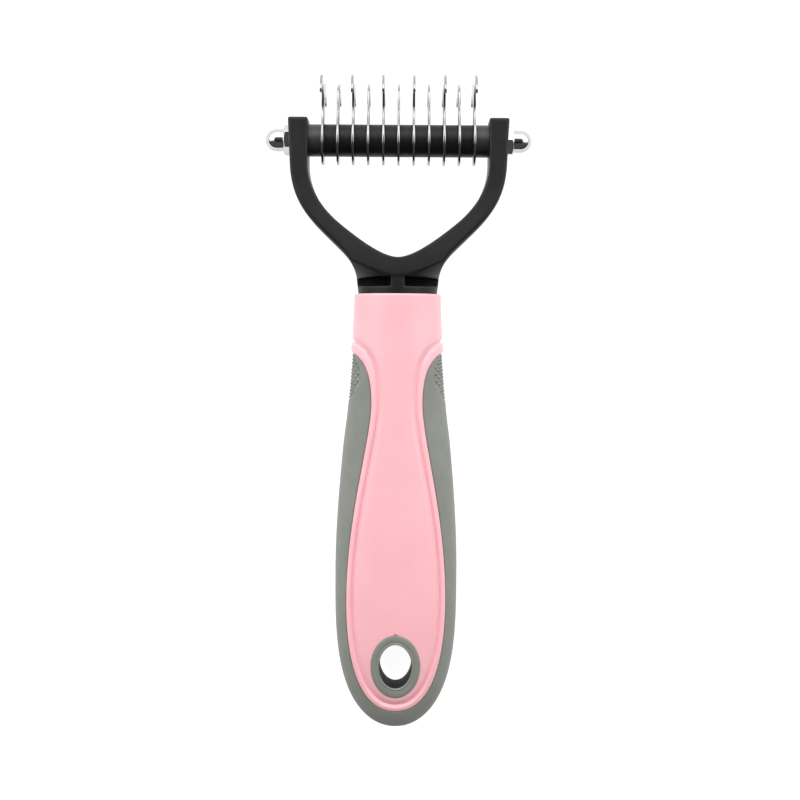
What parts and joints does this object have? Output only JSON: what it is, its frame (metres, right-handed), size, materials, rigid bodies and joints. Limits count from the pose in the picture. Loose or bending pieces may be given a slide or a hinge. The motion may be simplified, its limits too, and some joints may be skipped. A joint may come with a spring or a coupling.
{
  "type": "dematting comb",
  "caption": "Pet dematting comb: hooked steel blades in a row on an axle, held in a black yoke, with a soft-sided plastic handle and an oval hanging hole.",
  "frame": {"origin": "middle of the bounding box's underside, level with the ends of the rear teeth", "axes": "+X across the head along the axle, +Y from the handle towards the teeth, +Z out of the front face"},
  "size_m": [0.0696, 0.1704, 0.0292],
  "materials": {
    "handle_plastic": "satin",
    "grip_rubber": "matte",
    "black_plastic": "satin",
    "blade_steel": "polished",
    "axle_steel": "satin",
    "nut_chrome": "polished"
  },
  "bodies": {
    "root": {"handle_core": "handle_plastic", "grip_overmould": "grip_rubber", "hang_hole_ring": "grip_rubber", "yoke": "black_plastic", "axle": "axle_steel", "double_blade_1": "blade_steel", "double_blade_3": "blade_steel", "double_blade_5": "blade_steel", "double_blade_7": "blade_steel", "double_blade_9": "blade_steel", "double_blade_11": "blade_steel", "single_blade_2": "blade_steel", "single_blade_4": "blade_steel", "single_blade_6": "blade_steel", "single_blade_8": "blade_steel", "single_blade_10": "blade_steel", "spacer_1": "black_plastic", "spacer_2": "black_plastic", "spacer_3": "black_plastic", "spacer_4": "black_plastic", "spacer_5": "black_plastic", "spacer_6": "black_plastic", "spacer_7": "black_plastic", "spacer_8": "black_plastic", "spacer_9": "black_plastic", "spacer_10": "black_plastic", "end_spacer_left": "black_plastic", "end_spacer_right": "black_plastic", "cap_nut_left": "nut_chrome", "cap_nut_right": "nut_chrome"}
  },
  "joints": []
}
